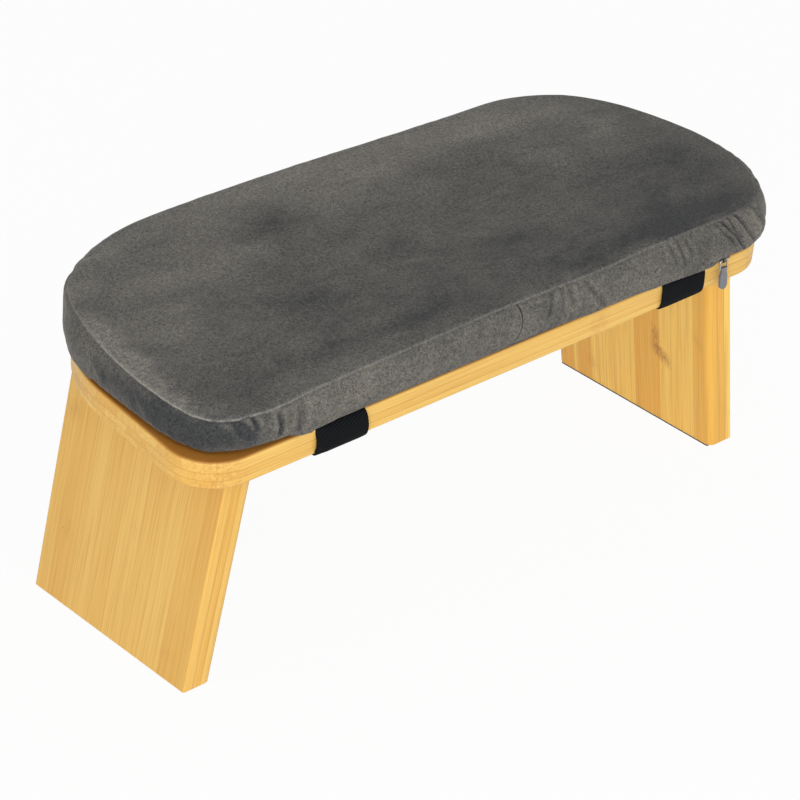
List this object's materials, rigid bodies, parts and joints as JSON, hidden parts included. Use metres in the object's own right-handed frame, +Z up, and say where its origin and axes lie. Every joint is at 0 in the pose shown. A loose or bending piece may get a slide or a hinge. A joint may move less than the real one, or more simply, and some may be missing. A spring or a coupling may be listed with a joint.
{
  "type": "folding meditation bench",
  "caption": "Low bamboo kneeling bench with fold-in panel legs and a grey velvet cushion held by elastic straps.",
  "frame": {"origin": "floor, under the middle of the whole bench", "axes": "+X along the seat to the sitter's right seen from the low front edge, -Y the low front edge, +Z up"},
  "size_m": [0.4789, 0.2126, 0.2183],
  "materials": {
    "bamboo": "satin lacquer over laminated bamboo",
    "velvet": "short pile velvet",
    "foam": "open cell foam",
    "elastic": "ribbed elastic webbing",
    "hinge_steel": "zinc plated",
    "screw_steel": "zinc plated",
    "magnet_nickel": "nickel plated",
    "foot_rubber": "matt",
    "zip_nylon": "woven tape and moulded coil",
    "zip_metal": "gunmetal plated",
    "pull_grey": "moulded"
  },
  "bodies": {
    "seat": {"seat_board": "bamboo", "left_front_hinge_seat_leaf": "hinge_steel", "left_front_hinge_pin": "hinge_steel", "left_rear_hinge_seat_leaf": "hinge_steel", "left_rear_hinge_pin": "hinge_steel", "right_front_hinge_seat_leaf": "hinge_steel", "right_front_hinge_pin": "hinge_steel", "right_rear_hinge_seat_leaf": "hinge_steel", "right_rear_hinge_pin": "hinge_steel", "left_seat_leaf_screws": "screw_steel", "left_seat_magnet": "magnet_nickel", "left_cushion_strap": "elastic", "right_seat_leaf_screws": "screw_steel", "right_seat_magnet": "magnet_nickel", "right_cushion_strap": "elastic", "cushion_foam": "foam", "cover_top_panel": "velvet", "cover_band_left": "velvet", "cover_band_right": "velvet", "cover_base_panel": "velvet", "zip_tape_upper": "zip_nylon", "zip_tape_lower": "zip_nylon", "zip_coil": "zip_nylon", "zip_end_stops": "zip_metal"},
    "left_leg": {"left_leg_panel": "bamboo", "left_foot_pad": "foot_rubber", "left_front_hinge_leg_leaf": "hinge_steel", "left_rear_hinge_leg_leaf": "hinge_steel", "left_leg_leaf_screws": "screw_steel", "left_leg_magnet": "magnet_nickel"},
    "right_leg": {"right_leg_panel": "bamboo", "right_foot_pad": "foot_rubber", "right_front_hinge_leg_leaf": "hinge_steel", "right_rear_hinge_leg_leaf": "hinge_steel", "right_leg_leaf_screws": "screw_steel", "right_leg_magnet": "magnet_nickel"},
    "zip_slider": {"zip_slider": "zip_metal"},
    "zip_pull": {"zip_pull_ring": "zip_metal", "zip_pull_tab": "pull_grey"}
  },
  "joints": [
    {"name": "left_leg_fold", "type": "hinge", "parent": "seat", "child": "left_leg", "pos_m": [-0.18522, -0.00904, 0.15628], "axis": [0, -0.9925, -0.1219], "range_deg": [0, 100.6]},
    {"name": "right_leg_fold", "type": "hinge", "parent": "seat", "child": "right_leg", "pos_m": [0.1744, -0.00904, 0.15628], "axis": [0, 0.9925, 0.1219], "range_deg": [0, 100.6]},
    {"name": "zip_slide", "type": "slide", "parent": "seat", "child": "zip_slider", "axis": [1, 0, 0], "range_m": [-0.3256, 0]},
    {"name": "zip_pull_swing", "type": "hinge", "parent": "zip_slider", "child": "zip_pull", "pos_m": [0.17189, -0.10479, 0.1689], "axis": [-1, 0, 0], "range_deg": [-8, 110]}
  ]
}
